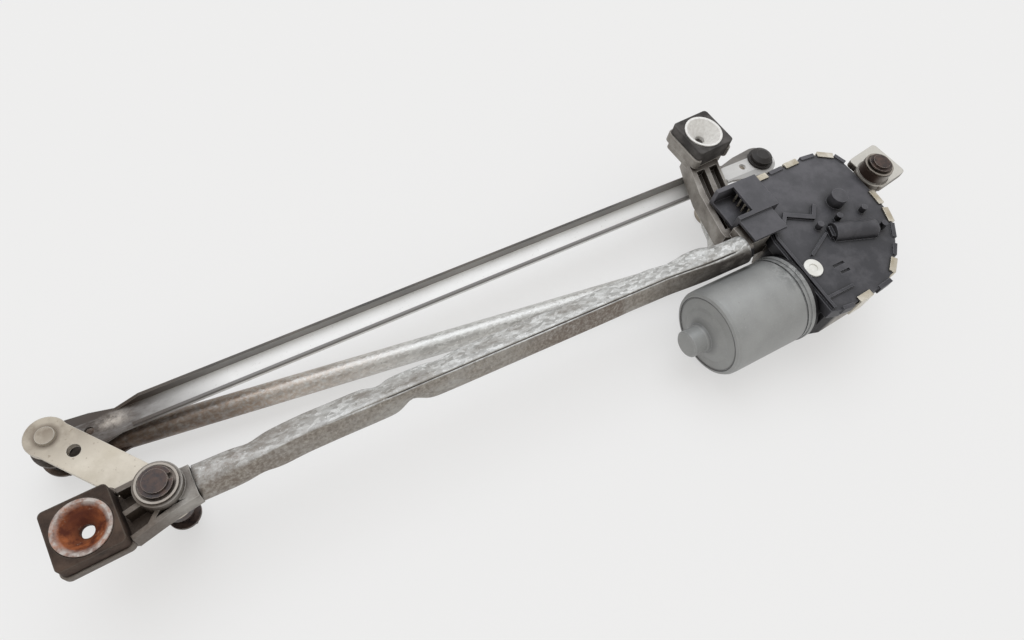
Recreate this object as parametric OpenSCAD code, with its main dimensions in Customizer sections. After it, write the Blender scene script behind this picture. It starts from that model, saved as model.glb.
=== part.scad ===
// Wiper linkage: tube frame, two pivots, two links and a worm gear motor.
// Frame: origin on the left pivot axis at table level, X to the right pivot, Z up.

/* [Layout] */
// Distance between the two wiper pivots
pivot_span = 500; // [440:1:560]
// Length of both levers and of the crank, pivot to ball
lever_len = 74; // [66:0.5:82]
// Rest angle of levers and crank from +X
lever_angle = 126.87; // [120:0.01:130]
// Output axis, measured back from the right pivot
gear_back = 48; // [46:0.5:50]
// Output axis, measured to the near side
gear_side = 13; // [12:0.5:15]

/* [Levers and balls] */
// Width of lever and crank plates
lever_w = 22; // [18:0.5:22]
// Thickness of lever and crank plates
lever_t = 4; // [3:0.5:5]
// Underside of the left lever
left_lever_z = 37.5; // [36.5:0.5:38]
// Underside of the right lever
right_lever_z = 8.5; // [8:0.5:9]
// Underside of the crank
crank_z = 1.5; // [1:0.5:2]
// Ball diameter
ball_d = 10; // [8:0.5:11]
// Play between ball and socket
ball_play = 0.3; // [0.25:0.05:0.5]
// Socket outside diameter
socket_d = 19; // [17:0.5:20]
// Height of the channel link ball centre
link_a_z = 28; // [27:0.5:29]
// Height of the tube link ball centre
link_b_z = 13.5; // [13:0.25:14]

/* [Spindles] */
// Spindle diameter
spindle_d = 12; // [10:0.5:13]
// Radial running play of shafts in their bushes
run_play = 0.05; // [0.02:0.01:0.09]
// Bush outside diameter
bush_d = 16; // [15:0.5:18]
// Left spindle top height
left_top = 70; // [69:0.5:72]
// Right spindle top height
right_top = 70; // [69:0.5:72]
// Thread diameter of the wiper arm end
arm_thread_d = 8; // [6:0.5:9]

/* [Frame tube] */
// Tube width
tube_d = 19; // [17:0.5:20]
// Tube bore
tube_bore = 15; // [13:0.5:15.5]
// Height of the tube axis
tube_z = 52; // [51:0.5:54]

/* [Mounts] */
// Side of the square rubber blocks
block_side = 31; // [28:0.5:34]
// Cup rim diameter
cup_d = 27; // [24:0.5:28]
// Bolt hole diameter
bolt_hole_d = 6.8; // [6:0.1:8]
// Left rubber block top
left_block_top = 66; // [64:0.5:67]
// Upper rubber block top
upper_block_top = 68; // [66:0.5:70]

/* [Motor] */
// Motor can diameter
can_d = 60; // [56:0.5:61]
// Motor can length
can_len = 64; // [60:0.5:68]
// Can wall thickness
can_wall = 2; // [1.5:0.1:3]
// Motor shaft diameter
motor_shaft_d = 8; // [7:0.5:9]
// Gear output shaft diameter
output_d = 10; // [9:0.5:11]
// Housing floor underside
tub_z = 22; // [21.5:0.25:23]
// Joint plane between housing and cover
seam_z = 48; // [46:0.5:50]
// Cover top
cover_z = 56; // [55:0.5:58]

/* [Hidden] */
$fn = 64;
e = 0.05;
lp = [0, 0];
rp = [pivot_span, 0];
ga = [pivot_span - gear_back, -gear_side];
lv = [lever_len * cos(lever_angle), lever_len * sin(lever_angle)];
lb = lp + lv;
rb = rp + lv;
cb = ga + lv;
can_z = can_d / 2;
worm_y = ga[1] - 32;
can_x1 = ga[0] - 64;
can_x0 = can_x1 - can_len;
t0 = [15, -3];
t1 = [ga[0] - 82, -10];
tube_a = atan2(t1[1] - t0[1], t1[0] - t0[0]);
tube_len = norm(t1 - t0);
lblk = [-35, -5];
ublk = [ga[0] - 57, 75.5];
ublk_a = 4;
ball_r = ball_d / 2;
cavity_r = ball_r + ball_play;
pin_r = ball_r - 2;
hub_r = 11.5;
link_t = 2;
seat_hole_d = 18;
out_bush_d = 13;
rod_d = 14;
rod_bore = rod_d - 3.2;
eye_d = 25;
bend_r = 20;
neck = 0.4;
seat_d = socket_d - 2.8;
right_hub_r = 10.5;
hub_z = 42.5;
hub_top = 65;
rivet_d = 6;
left_nut_z = 6.2;
right_nut_z = 1.5;
nut_gap = 1.2;
nut_step = 0.4;
fit_gap = 0.2;
rim_gap = 0.1;
knee = [ga[0] - 72, 4.8];
ox = ga[0] - 452;
core_r = 21;
core_slots = 10;
core_x0 = can_x0 + 12;
core_x1 = can_x1 - 18;
coil_w = 6;
magnet_t = 5;

// cover outline seen from above
outline = [[391, -75], [400, -77.5], [441, -75], [452, -70], [461, -63], [473, -52], [482, -40],
  [487, -26], [488, -9], [488, 8], [487, 19], [483, 26], [474, 31], [458, 33], [405, 31],
  [402, 27], [402, -3], [393, -10], [391, -16]];

module at(p, z = 0) {
  translate([p[0], p[1], z]) children();
}

module plan(s = 1) {
  translate([ox + 442, -22]) scale([s, s]) translate([-442, 22]) polygon(outline);
}

module bar(a, b, w, h) {
  translate([a[0], a[1], 0])
    rotate([0, 0, atan2(b[1] - a[1], b[0] - a[0])])
      translate([0, -w / 2, 0]) cube([norm(b - a), w, h]);
}

module x_rod(x0, x1, r, y = worm_y, z = can_z) {
  translate([x0, y, z]) rotate([0, 90, 0]) cylinder(r = r, h = x1 - x0);
}

// flat lever: two round ends joined by a straight plate
module plate(a, b, w, z, t) {
  long = norm(b - a);
  at(a, z) rotate([0, 0, atan2(b[1] - a[1], b[0] - a[0])])
    linear_extrude(t) {
      translate([0, 0.75 - w / 2]) square([long, w - 1.5]);
      circle(d = w);
      translate([long, 0]) circle(d = w);
    }
}

// square block with rounded vertical edges
module rounded_block(side, h, r = 4) {
  translate([-side / 2 + r, -side / 2, 0]) cube([side - 2 * r, side, h]);
  translate([-side / 2, -side / 2 + r, 0]) cube([side, side - 2 * r, h]);
  for (sx = [-1, 1])
    for (sy = [-1, 1])
      translate([sx * (side / 2 - r), sy * (side / 2 - r), 0]) cylinder(r = r, h = h);
}

module block_cut(p, top) {
  at(p, top - 40) cylinder(d = seat_hole_d - 2, h = 32 + e);
  cone_h = 8.5;
  at(p, top - 8) cylinder(r1 = 5 + fit_gap, r2 = 5 + fit_gap + cone_h * (cup_d / 2 - 5) / 7.8, h = cone_h);
}

module rubber(p, top, h, a) {
  color([0.16, 0.13, 0.12])
    difference() {
      at(p, top - h) rotate([0, 0, a]) rounded_block(block_side, h, 2.6);
      block_cut(p, top);
    }
}

// pressed funnel with a short neck
module cup(p, top) {
  neck_z = top - 10.6;
  color([0.7, 0.68, 0.65])
    at(p)
      rotate_extrude()
        polygon([[bolt_hole_d / 2, neck_z], [5, neck_z], [5, top - 8], [cup_d / 2, top - 0.2],
          [cup_d / 2, top + 0.8], [cup_d / 2 - 1.6, top + 0.8], [bolt_hole_d / 2, top - 7.6]]);
}

module rubber_left() {
  rubber(lblk, left_block_top, 13, 2);
}

module rubber_upper() {
  rubber(ublk, upper_block_top, 13, ublk_a);
}

module cup_left() {
  cup(lblk, left_block_top);
}

module cup_upper() {
  cup(ublk, upper_block_top);
}

// left pivot casting: hub, mount seat, open web with three ribs, tube spigot
module left_housing() {
  web_z = 48;
  web_t = 3;
  rib_h = 12;
  color([0.55, 0.55, 0.54])
    difference() {
      union() {
        at(lp, hub_z) cylinder(r = hub_r, h = hub_top - hub_z);
        at(lblk, web_z) rotate([0, 0, 2]) rounded_block(27, 4.9);
        at([0, 0], web_z) linear_extrude(web_t)
          polygon([[-24, -17], [-18, -19], [4, -14], [15, -12], [15, 6], [0, 9], [-18, 8], [-24, 7]]);
        at([0, 0], web_z) bar([-18.4, -18], [4, -12.5], 2.6, rib_h);
        at([0, 0], web_z) bar([3, -12.8], [15, -11], 2.6, rib_h);
        at([0, 0], web_z) bar([-18, -6], [-4, -3], 2.6, rib_h + 2);
        at([0, 0], web_z) bar([-18, 6.6], [-4, 7.5], 2.6, rib_h + 2);
        at([0, 0], web_z) bar([-10, -16], [-2, -8], 2.2, rib_h);
        translate([6, -10.5, web_z]) cube([9, 15.5, 12]);
        translate([t0[0], t0[1], tube_z]) rotate([0, 0, tube_a]) rotate([0, 90, 0])
          translate([0, 0, -6]) cylinder(d = tube_bore - rim_gap, h = 28);
      }
      at(lp, 40) cylinder(d = bush_d, h = 40);
      at(lblk, 40) cylinder(d = seat_hole_d, h = 40);
    }
}

module tube_profile(w, r) {
  translate([-w / 2 + r, -w / 2]) square([w - 2 * r, w]);
  translate([-w / 2, -w / 2 + r]) square([w, w - 2 * r]);
  for (sx = [-1, 1])
    for (sy = [-1, 1])
      translate([sx * (w / 2 - r), sy * (w / 2 - r)]) circle(r = r);
}

// formed frame tube: round at both ends, squared between, pinched at a waist
module main_tube() {
  turn = -23;
  flat_w = tube_d - 1.5;
  color([0.62, 0.63, 0.63])
    translate([t0[0], t0[1], tube_z]) rotate([0, 0, tube_a]) rotate([0, 90, 0])
      difference() {
        union() {
          translate([0, 0, 0.5]) cylinder(d = tube_d, h = 24);
          translate([0, 0, 9]) rotate([0, 0, turn]) linear_extrude(105) tube_profile(flat_w, 3.6);
          translate([0, 0, 113]) rotate([0, 0, turn]) linear_extrude(26) tube_profile(flat_w - 1, 4);
          translate([0, 0, 138]) rotate([0, 0, turn]) linear_extrude(tube_len - 172) tube_profile(flat_w, 3.6);
          translate([0, 0, tube_len - 36]) cylinder(d = tube_d, h = 35.5);
        }
        translate([0, 0, -1]) cylinder(d = tube_bore, h = tube_len + 2);
        for (k = [0, 1])
          translate([-5.4, 0, 27 + 9 * k]) rotate([90, 0, 30])
            translate([-7.6, 0, 0]) cylinder(r = 4, h = 7, center = true);
        rotate([0, 0, turn + 10]) translate([0, -tube_d / 2 - 7.3, 124]) rotate([0, 90, 0])
          cylinder(r = 9, h = 24, center = true);
      }
}

// gear housing casting with the worm tunnel, tube spigot, mount arm and right pivot hub
module gear_housing() {
  color([0.6, 0.6, 0.59])
    difference() {
      union() {
        difference() {
          at([0, 0], tub_z) linear_extrude(seam_z - tub_z - rim_gap) plan(0.97);
          at([0, 0], tub_z + 3.5) linear_extrude(40) plan(0.9);
        }
        x_rod(can_x1 + fit_gap, can_x1 + 2.6, can_d / 2 - fit_gap);
        translate([can_x1 + 2.4, worm_y - 25, tub_z]) cube([6, 48, seam_z - tub_z - fit_gap]);
        x_rod(can_x1 + 2, can_x1 + 14, 9);
        at(ga, 7.5) cylinder(d = out_bush_d + 4, h = 18);
        at(rp, 20) cylinder(r = right_hub_r, h = hub_top - 20);
        at([rp[0] + 9, 4], 52) rotate([0, 0, 8]) rounded_block(30, 5, 3);
        at(rp, 52) cylinder(r = right_hub_r + 1, h = 5.8);
        translate([ga[0] + 31, -9, tub_z]) cube([18, 18, seam_z - tub_z - fit_gap]);
        translate([t1[0], -12, 39]) cube([ga[0] - t1[0] - 46.5, 15.7, seam_z - 39 - fit_gap]);
        translate([t1[0], -12, 47]) cube([19.5, 15.7, 12]);
        translate([t1[0], t1[1], tube_z]) rotate([0, 0, tube_a]) rotate([0, 90, 0])
          translate([0, 0, -20]) cylinder(d = tube_bore - rim_gap, h = 24);
        arm();
      }
      x_rod(can_x1 - 1, can_x1 + 20, 6);
      x_rod(ga[0] - 22, ga[0] + 19, 6.8);
      at(ga, 0) cylinder(d = out_bush_d, h = 40);
      at(rp, 10) cylinder(d = bush_d, h = 70);
      at(ublk, 30) cylinder(d = seat_hole_d, h = 40);
    }
}

module arm() {
  bx = ga[0] - 80;
  difference() {
    union() {
      at([0, 0], 38) linear_extrude(14)
        polygon([[bx - 1, -4], [bx - 1, 0.5], [bx - 6, 3], [bx - 6, 8], [bx, 40], [bx + 8, 62], [bx + 13, 74], [bx + 35, 70],
          [bx + 29, 54], [bx + 24, 38], [bx + 20, 8], [bx + 20, -4]]);
      at(ublk, 47) rotate([0, 0, ublk_a]) rounded_block(29, 8, 3);
    }
    for (k = [0, 1])
      at([0, 0], 46) linear_extrude(20)
        polygon([[bx - 2 + 11 * k, 8], [bx + 4 + 11 * k, 38], [bx + 10 + 11 * k, 57],
          [bx + 17 + 11 * k, 57], [bx + 11 + 11 * k, 38], [bx + 5 + 11 * k, 8]]);
  }
}

// moulded cover with boss, capsule, posts, rim lugs and connector shroud
module cover() {
  color([0.13, 0.13, 0.14])
    difference() {
      union() {
        difference() {
          at([0, 0], seam_z) linear_extrude(cover_z - seam_z) plan();
          at([0, 0], seam_z - 1) linear_extrude(cover_z - seam_z - 1.6) plan(0.92);
        }
        at([ga[0] + 3, -8], cover_z - 1) cylinder(r = 6, h = 9);
        at([ga[0] - 18, -27.6], cover_z + 0.2) rotate([0, 0, -18]) {
          rotate([0, 90, 0]) cylinder(r = 7, h = 32);
          translate([-2.4, -4, -1]) cube([4, 8, 4]);
          translate([31, 0, 0]) rotate([0, 90, 0]) cylinder(r1 = 6.6, r2 = 4.6, h = 3.6);
        }
        at([ga[0] - 6, -20], cover_z - 1) cylinder(r = 2.2, h = 6);
        at([ga[0] - 24, -20], cover_z - 1) cylinder(r = 2.2, h = 6);
        at([ga[0] + 16, -22], cover_z - 1) cylinder(r = 2.2, h = 6);
        at([ga[0] + 19, -39], cover_z - 1) cylinder(r = 2.2, h = 7);
        at([ga[0], 0], cover_z - 1) linear_extrude(3)
          polygon([[-48, -8], [-40, 0], [-22, -10], [-15, -3], [-13, -5], [-22, -14], [-40, -4], [-46, -10]]);
        at([0, 0], cover_z - 1) bar([ga[0] - 44, -36], [ga[0] - 22, -26], 2, 2.4);
        at([0, 0], cover_z - 1) bar([ga[0] - 58, -66], [ga[0] - 34, -66], 2, 2.4);
        translate([ga[0] - 79, 4, 53]) cube([34, 27, 13]);
        translate([ga[0] - 79, -13, 62.5]) cube([28, 18, 2]);
        at([ga[0], 0], cover_z - 1) linear_extrude(3.2)
          polygon([[-59, -74], [-59, -15.4], [-57, -10], [-48, -2], [-46.6, -3.4], [-55.2, -11.4], [-57, -16],
            [-57, -74]]);
        lug([ga[0] - 19, 32], 2, 12);
        lug([ga[0] + 12, 32.4], -5, 12);
        lug([ga[0] + 34.5, 21], -70, 9);
        lug([ga[0] + 26, -44.5], -127, 12);
        lug([ga[0] + 15, -57], -137, 10);
        lug([ga[0] - 12, -75], -174, 12);
        lug([ga[0] - 48, -77], 174, 9);
      }
      translate([ga[0] - 76, 7, 55.5]) cube([27, 21, 8.5]);
      translate([ga[0] - 84, 7, 55.5]) cube([18, 21, 20]);
      at([ga[0] - 50, -44], cover_z - 2) cylinder(r = 6.6, h = 5);
      translate([ga[0] - 36, -50, cover_z - 1.2]) cube([10, 2, 3]);
      translate([ga[0] - 34, -56, cover_z - 1.2]) cube([8, 2, 3]);
    }
}

module clip(p, a) {
  at(p, 40.5) rotate([0, 0, a]) {
    translate([-6, 0.6, 0]) cube([12, 1.2, 16.6]);
    translate([-6, -2.6, 15.7]) cube([12, 4.4, 0.9]);
  }
}

// rim lug standing between two spring clips
module lug(p, a, w) {
  at(p, cover_z - 5) rotate([0, 0, a]) translate([-w / 2, -1.5, 0]) cube([w, 2.9, 6]);
}

// spring clips holding the cover on
module cover_clips() {
  color([0.8, 0.74, 0.58]) {
    clip([ga[0] - 34, 31.7], 1);
    clip([ga[0] - 4, 32.8], 1);
    clip([ga[0] + 26.5, 28.6], -30);
    clip([ga[0] + 35.6, -17.5], -93.4);
    clip([ga[0] + 32.6, -33], -110);
    clip([ga[0] + 4.6, -66.4], -141);
    clip([ga[0] - 32, -76.4], -176.5);
  }
}

module cover_plug() {
  color([0.92, 0.92, 0.9])
    at([ga[0] - 50, -44], cover_z - 2)
      difference() {
        cylinder(r = 6.5, h = 3.2);
        translate([0, 0, 2.4]) cylinder(r = 3, h = 2);
      }
}

module terminal_pins() {
  color([0.85, 0.83, 0.78])
    for (k = [0:3])
      translate([ga[0] - 65, 9.5 + 4.4 * k, 55.5]) cube([1.6, 1.2, 7]);
}

// drawn steel can: flared nose, front bead, rear groove and lip
module motor_can() {
  lip_r = can_d / 2;
  body_r = lip_r - 0.6;
  in_r = lip_r - can_wall;
  nose_r = motor_shaft_d / 2 + run_play;
  color([0.58, 0.6, 0.61])
    translate([can_x0, worm_y, can_z]) rotate([0, 90, 0])
      rotate_extrude()
        polygon([[0, -18], [8, -18], [9, -17], [9, -8], [10, -5.6], [13, -3.6], [17, -2.4], [19, -1.2],
          [body_r - 4, -0.2], [body_r - 3, -0.9], [body_r - 1.2, 0], [body_r - 0.2, 2], [body_r, 5],
          [body_r, can_len - 7.2], [in_r + 0.6, can_len - 7.2], [in_r + 0.6, can_len - 5.6],
          [body_r, can_len - 5.6], [body_r, can_len - 3], [lip_r, can_len - 3], [lip_r, can_len],
          [in_r, can_len], [in_r, 3], [nose_r, 3], [nose_r, -15], [0, -15]]);
}

module magnets() {
  color([0.25, 0.25, 0.27])
    difference() {
      x_rod(can_x0 + 8, can_x1 - 14, can_d / 2 - can_wall - rim_gap);
      x_rod(can_x0 + 7, can_x1 - 13, can_d / 2 - can_wall - magnet_t);
      translate([can_x0, worm_y - 8, 0]) cube([80, 16, can_d]);
    }
}

module brush_plate() {
  color([0.2, 0.2, 0.21])
    difference() {
      x_rod(can_x1 - 9, can_x1 - 4, can_d / 2 - can_wall - rim_gap);
      x_rod(can_x1 - 10, can_x1, 12);
    }
}

module bush(p, z, h, od, id) {
  color([0.66, 0.55, 0.36])
    at(p, z)
      difference() {
        cylinder(d = od, h = h);
        translate([0, 0, -1]) cylinder(d = id + 2 * run_play, h = h + 2);
      }
}

module left_bush() {
  bush(lp, hub_z + fit_gap, hub_top - hub_z - fit_gap, bush_d, spindle_d);
}

module right_bush() {
  bush(rp, 20, hub_top - 20, bush_d, spindle_d);
}

module output_bush() {
  bush(ga, 7.5, 18, out_bush_d, output_d);
}

module armature_bush() {
  color([0.66, 0.55, 0.36])
    difference() {
      x_rod(can_x1 + 4, can_x1 + 13.5, 6);
      x_rod(can_x1, can_x1 + 20, motor_shaft_d / 2 + run_play);
    }
}

wheel_r = 25.4;
teeth = 60;
function tooth(i) = let (a = i * 90 / teeth, m = i % 4)
  (m < 2 ? wheel_r : wheel_r - 1.6) * [cos(a), sin(a)];

module worm_wheel() {
  color([0.85, 0.83, 0.74])
    at(ga, 26)
      difference() {
        linear_extrude(9) polygon([for (i = [0:4 * teeth - 1]) tooth(i)]);
        translate([0, 0, -1]) cylinder(d = output_d, h = 20);
        translate([0, 0, 6]) difference() {
          cylinder(r = 20, h = 4);
          translate([0, 0, -1]) cylinder(r = 9, h = 6);
        }
      }
}

module output_shaft() {
  color([0.7, 0.7, 0.72]) at(ga, crank_z) cylinder(d = output_d, h = 38 - crank_z);
}

module crank_arm() {
  color([0.68, 0.68, 0.66])
    difference() {
      plate(ga, cb, lever_w, crank_z, lever_t);
      at(ga, -1) cylinder(d = output_d, h = 20);
      at(cb, -1) cylinder(d = rivet_d, h = 20);
    }
}

// ball stud pointing up from a plate
module stud_up(p, z, zb) {
  color([0.75, 0.75, 0.77]) {
    at(p, z) cylinder(d = rivet_d, h = lever_t + e);
    at(p, z + lever_t) cylinder(r = pin_r, h = zb - z - lever_t);
    at(p, zb) sphere(r = ball_r);
  }
}

module crank_ball() {
  stud_up(cb, crank_z, link_b_z);
}

module armature_shaft() {
  color([0.72, 0.72, 0.74]) {
    x_rod(can_x0 - 14.8, ga[0] + 18, motor_shaft_d / 2);
    for (k = [0:8])
      translate([ga[0] - 16 + 3.6 * k, worm_y, can_z]) rotate([0, 90, 0])
        cylinder(r1 = 5.9, r2 = 4.4, h = 2.4);
  }
}

module lamination() {
  color([0.35, 0.35, 0.37])
    difference() {
      x_rod(core_x0, core_x1, core_r);
      x_rod(core_x0 - 1, core_x1 + 1, motor_shaft_d / 2);
      for (k = [0:core_slots - 1])
        translate([core_x0 - 1, worm_y, can_z]) rotate([k * 360 / core_slots, 0, 0])
          translate([0, -1, core_r - 7]) cube([core_x1 - core_x0 + 2, 2, 8]);
    }
}

module winding() {
  color([0.72, 0.42, 0.2])
    for (x = [core_x0 - coil_w, core_x1])
      difference() {
        x_rod(x, x + coil_w, core_r - 4);
        x_rod(x - 1, x + coil_w + 1, motor_shaft_d / 2);
      }
}

module commutator() {
  color([0.75, 0.48, 0.28])
    difference() {
      x_rod(can_x1 - 11.5, can_x1 - 3, 10);
      x_rod(can_x1 - 20, can_x1, motor_shaft_d / 2);
    }
}

// spindle with clip groove, cone seat and threaded arm end pointing down
module spindle(p, nut_z, seat, top, taper) {
  cone_h = 8;
  free_h = nut_z - nut_gap;
  groove_z = top - 2.5;
  color([0.24, 0.23, 0.23])
    at(p)
      difference() {
        union() {
          cylinder(d = arm_thread_d, h = free_h + e);
          translate([0, 0, free_h]) cylinder(d = arm_thread_d + nut_step, h = seat - free_h + e);
          translate([0, 0, seat]) cylinder(d1 = spindle_d - taper, d2 = spindle_d, h = cone_h);
          translate([0, 0, seat + cone_h - e]) cylinder(d = spindle_d, h = top - seat - cone_h + e);
        }
        translate([0, 0, groove_z]) difference() {
          cylinder(d = spindle_d + 2, h = 1.2);
          cylinder(d = spindle_d - 2, h = 1.2);
        }
      }
}

module left_spindle() {
  collar_z = 24;
  spindle(lp, left_nut_z, left_nut_z + 7, left_top, 2);
  color([0.24, 0.23, 0.23]) at(lp, collar_z) cylinder(d = bush_d, h = left_lever_z - collar_z);
}

module right_spindle() {
  spindle(rp, right_nut_z, right_lever_z - fit_gap, right_top, 0.4);
}

module lever(p, b, z) {
  color([0.82, 0.79, 0.7])
    difference() {
      plate(p, b, lever_w, z, lever_t);
      at(p, z - 1) cylinder(d = spindle_d, h = 20);
      at(b, z - 1) cylinder(d = rivet_d, h = 20);
      at(p + (b - p) * 0.77, z - 1) cylinder(d = 7, h = 20);
    }
}

module left_lever() {
  lever(lp, lb, left_lever_z);
}

module right_lever() {
  lever(rp, rb, right_lever_z);
}

// double ball pin riveted into the left lever, balls below
module left_ball_pin() {
  color([0.78, 0.77, 0.73])
    at(lb) {
      translate([0, 0, left_lever_z + lever_t]) cylinder(d1 = 11, d2 = 9.5, h = 1.8);
      translate([0, 0, left_lever_z - e]) cylinder(d = rivet_d, h = lever_t + 2 * e);
      translate([0, 0, left_lever_z - 2.5]) cylinder(d = 11, h = 2.5);
      translate([0, 0, link_b_z]) cylinder(r = pin_r, h = left_lever_z - link_b_z - 1);
      translate([0, 0, link_a_z]) sphere(r = ball_r);
      translate([0, 0, link_b_z]) sphere(r = ball_r);
    }
}

module right_ball_pin() {
  stud_up(rb, right_lever_z, link_a_z);
}

module washer(p, z) {
  color([0.78, 0.77, 0.75])
    at(p, z)
      difference() {
        cylinder(d = 20.4, h = 1.2);
        translate([0, 0, -1]) cylinder(d = spindle_d + 0.1, h = 4);
        translate([0, 0, 0.7]) cylinder(d = 18, h = 2);
      }
}

module left_washer() {
  washer(lp, hub_top + 0.4);
}

module right_washer() {
  washer(rp, hub_top + 0.4);
}

module clip_ring(p, top) {
  color([0.3, 0.28, 0.27])
    at(p, top - 2.4)
      difference() {
        cylinder(d = 16, h = 1);
        translate([0, 0, -1]) cylinder(d = spindle_d - 2, h = 4);
        translate([0, -1.5, -1]) cube([12, 3, 4]);
      }
}

module left_clip() {
  clip_ring(lp, left_top);
}

module right_clip() {
  clip_ring(rp, right_top);
}

module nut(p, z) {
  color([0.2, 0.19, 0.19])
    at(p, z)
      difference() {
        union() {
          cylinder(d = 15, h = 6.5, $fn = 6);
          translate([0, 0, 5]) cylinder(d = 17.6, h = 1.6);
        }
        translate([0, 0, -1]) cylinder(d = arm_thread_d + nut_step, h = 10);
      }
}

module left_nut() {
  nut(lp, left_nut_z);
}

module right_nut() {
  nut(rp, right_nut_z);
}

// flat spoon end of a link, eye at the origin, narrowing along +X
module spoon(long, neck_w) {
  linear_extrude(link_t)
    polygon([[0, -eye_d / 2], [long * 0.6, -eye_d / 2 + 2], [long, -neck_w / 2], [long, neck_w / 2],
      [long * 0.6, eye_d / 2 - 2], [0, eye_d / 2]]);
  cylinder(d = eye_d - 0.4, h = link_t);
}

// cut that runs the far flange out towards the spoon
module flange_taper(start, wide) {
  translate([start, 0, link_t]) rotate([0, 67, 0]) translate([-20, 0, 0]) cube([20, wide, 30]);
}

// pressed U channel link: tall far flange, low near flange, flat spoon ends
module channel_link() {
  long = rb[0] - lb[0];
  wide = 15;
  far_h = 8;
  near_h = 4;
  wall = 1.8;
  start = 32;
  color([0.6, 0.6, 0.58])
    at(lb, link_a_z - link_t / 2)
      difference() {
        union() {
          translate([start - 2, -wide / 2, 0]) cube([long - 2 * start + 4, wide, link_t]);
          translate([start, wide / 2 - wall, 0]) cube([long - 2 * start, wall, far_h]);
          translate([start + 6, -wide / 2, 0]) cube([long - 2 * start - 12, wall, near_h]);
          spoon(start, wide);
          translate([long, 0, 0]) rotate([0, 0, 180]) spoon(start, wide);
        }
        for (x = [0, long])
          translate([x, 0, -1]) cylinder(d = seat_d, h = 20);
        for (x = [17, long - 17])
          translate([x, 0, -1]) cylinder(d = 5, h = 20);
        flange_taper(start, wide);
        translate([long, 0, 0]) mirror([1, 0, 0]) flange_taper(start, wide);
      }
}

// moulded ball socket: open on the pin side
module socket(p, z, up) {
  color([0.08, 0.08, 0.09])
    at(p, z)
      mirror([0, 0, up ? 0 : 1])
        difference() {
          union() {
            translate([0, 0, -5]) cylinder(d = socket_d - 3, h = 11);
            translate([0, 0, link_t / 2 + rim_gap]) cylinder(d = socket_d, h = 2);
            translate([0, 0, -link_t / 2 - rim_gap - 2]) cylinder(d = socket_d, h = 2);
            translate([0, 0, 5.9]) cylinder(d1 = socket_d - 3, d2 = 9, h = 2);
          }
          sphere(r = cavity_r);
          translate([0, 0, -12]) cylinder(r = pin_r + 0.7, h = 12);
        }
}

// through socket of the double pin: open both ways
module socket_through(p, z) {
  color([0.08, 0.08, 0.09])
    at(p, z)
      difference() {
        union() {
          translate([0, 0, -5.5]) cylinder(d = socket_d - 3, h = 11);
          translate([0, 0, link_t / 2 + rim_gap]) cylinder(d = socket_d, h = 2);
          translate([0, 0, -link_t / 2 - rim_gap - 2]) cylinder(d = socket_d, h = 2);
        }
        sphere(r = cavity_r);
        translate([0, 0, -12]) cylinder(r = pin_r + 0.7, h = 24);
      }
}

module channel_socket_left() {
  socket_through(lb, link_a_z);
}

module channel_socket_right() {
  socket(rb, link_a_z, true);
}

module tube_socket_left() {
  socket(lb, link_b_z, false);
}

module tube_socket_right() {
  socket(cb, link_b_z, true);
}

// tube link: flattened eyes, straight tube and a bent dog-leg to the crank
module tube_link() {
  eye = 30;
  run1 = norm(knee - lb);
  run2 = norm(cb - knee);
  d1 = (knee - lb) / run1;
  d2 = (cb - knee) / run2;
  a1 = atan2(d1[1], d1[0]);
  a2 = atan2(d2[1], d2[0]);
  lead = bend_r * tan((a2 - a1) / 2);
  color([0.6, 0.61, 0.6])
    difference() {
      union() {
        difference() {
          union() {
            at(lb, link_b_z) rotate([0, 0, a1]) {
              translate([eye, 0, 0]) rotate([0, 90, 0]) cylinder(d = rod_d, h = run1 - lead - eye);
              translate([run1 - lead, bend_r, 0]) rotate([0, 0, -90])
                rotate_extrude(angle = a2 - a1) translate([bend_r, 0]) circle(d = rod_d);
            }
            at(cb, link_b_z) rotate([0, 0, a2 + 180])
              translate([eye, 0, 0]) rotate([0, 90, 0]) cylinder(d = rod_d - neck, h = run2 - lead - eye + 2);
          }
          at(lb, link_b_z) rotate([0, 0, a1])
            translate([eye - 1, 0, 0]) rotate([0, 90, 0]) cylinder(d = rod_bore, h = run1 - lead - eye);
          at(cb, link_b_z) rotate([0, 0, a2 + 180])
            translate([eye - 1, 0, 0]) rotate([0, 90, 0]) cylinder(d = rod_bore, h = run2 - lead - eye);
        }
        at(lb, link_b_z - link_t / 2) rotate([0, 0, a1]) spoon(eye + 6, rod_d - 2);
        at(cb, link_b_z - link_t / 2) rotate([0, 0, a2 + 180]) spoon(eye + 6, rod_d - 2);
      }
      at(lb, -5) cylinder(d = seat_d, h = 40);
      at(cb, -5) cylinder(d = seat_d, h = 40);
    }
}

gear_housing();
left_housing();
main_tube();
rubber_left();
rubber_upper();
cup_left();
cup_upper();
cover();
cover_clips();
cover_plug();
terminal_pins();
motor_can();
magnets();
brush_plate();
left_bush();
right_bush();
output_bush();
armature_bush();
worm_wheel();
output_shaft();
crank_arm();
crank_ball();
armature_shaft();
lamination();
winding();
commutator();
left_spindle();
left_lever();
left_ball_pin();
left_washer();
left_clip();
left_nut();
right_spindle();
right_lever();
right_ball_pin();
right_washer();
right_clip();
right_nut();
channel_link();
channel_socket_left();
channel_socket_right();
tube_link();
tube_socket_left();
tube_socket_right();
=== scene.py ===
import math
import bpy
import bmesh
from mathutils import Matrix, Vector


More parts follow.
